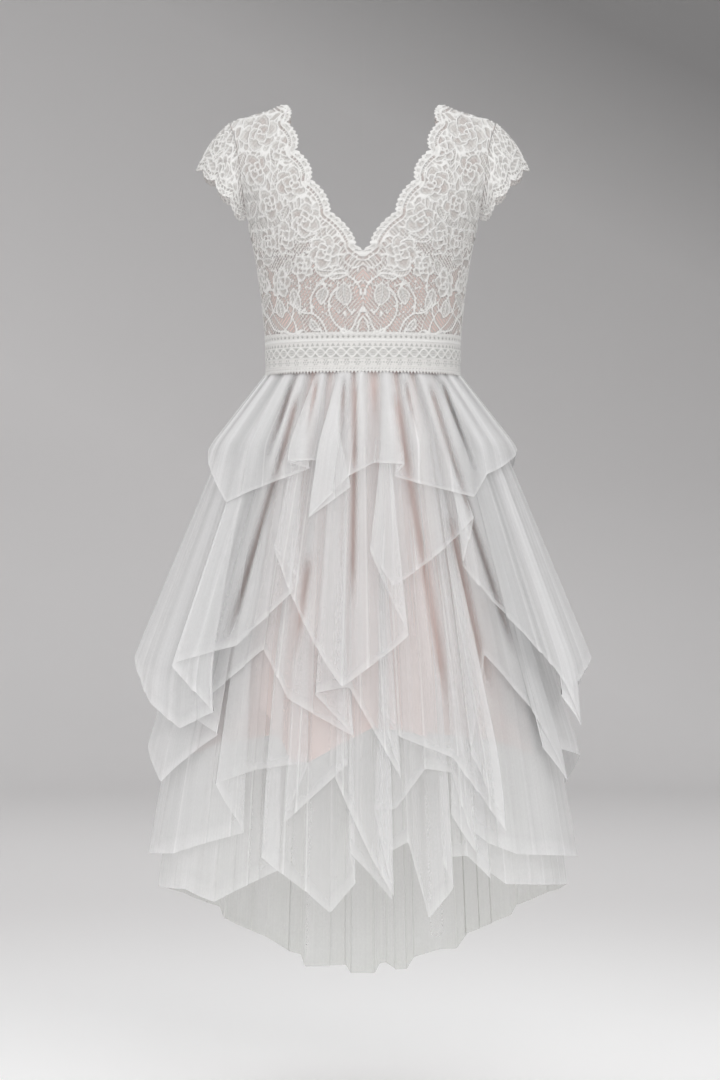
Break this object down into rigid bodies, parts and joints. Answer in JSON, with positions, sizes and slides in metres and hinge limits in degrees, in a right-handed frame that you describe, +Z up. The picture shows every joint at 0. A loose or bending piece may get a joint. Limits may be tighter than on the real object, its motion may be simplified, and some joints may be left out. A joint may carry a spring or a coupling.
{
  "type": "asymmetrical dress",
  "caption": "Cap-sleeved lace dress with a V neck, a lace waistband and a high-low skirt of layered tulle with pointed hems, filled out with no wearer.",
  "frame": {"origin": "on the centre plane between the shoulders, level with them and midway between front and back", "axes": "+Z up to the neckline, the front faces -Y, +X to the wearer's left"},
  "size_m": [0.6416, 0.4678, 1.2547],
  "materials": {
    "lace": "ivory-white corded floral lace with a scalloped edge",
    "band_lace": "ivory-white crochet lace trim",
    "blush_lining": "matt blush lining",
    "tulle": "sheer soft white tulle"
  },
  "bodies": {
    "root": {"lace_front_left": "lace", "lace_front_right": "lace", "lace_back_left": "lace", "lace_back_right": "lace", "sleeve_left": "lace", "sleeve_right": "lace", "waistband_front": "band_lace", "waistband_back": "band_lace", "lining_front_left": "blush_lining", "lining_front_right": "blush_lining", "lining_back_left": "blush_lining", "lining_back_right": "blush_lining", "skirt_lining_front": "blush_lining", "skirt_lining_back": "blush_lining", "long_layer_front": "tulle", "long_layer_back": "tulle", "tier_4_front": "tulle", "tier_4_back": "tulle", "tier_3_front": "tulle", "tier_3_back": "tulle", "tier_2_front": "tulle", "tier_2_back": "tulle", "tier_1_front": "tulle", "tier_1_back": "tulle"}
  },
  "joints": []
}
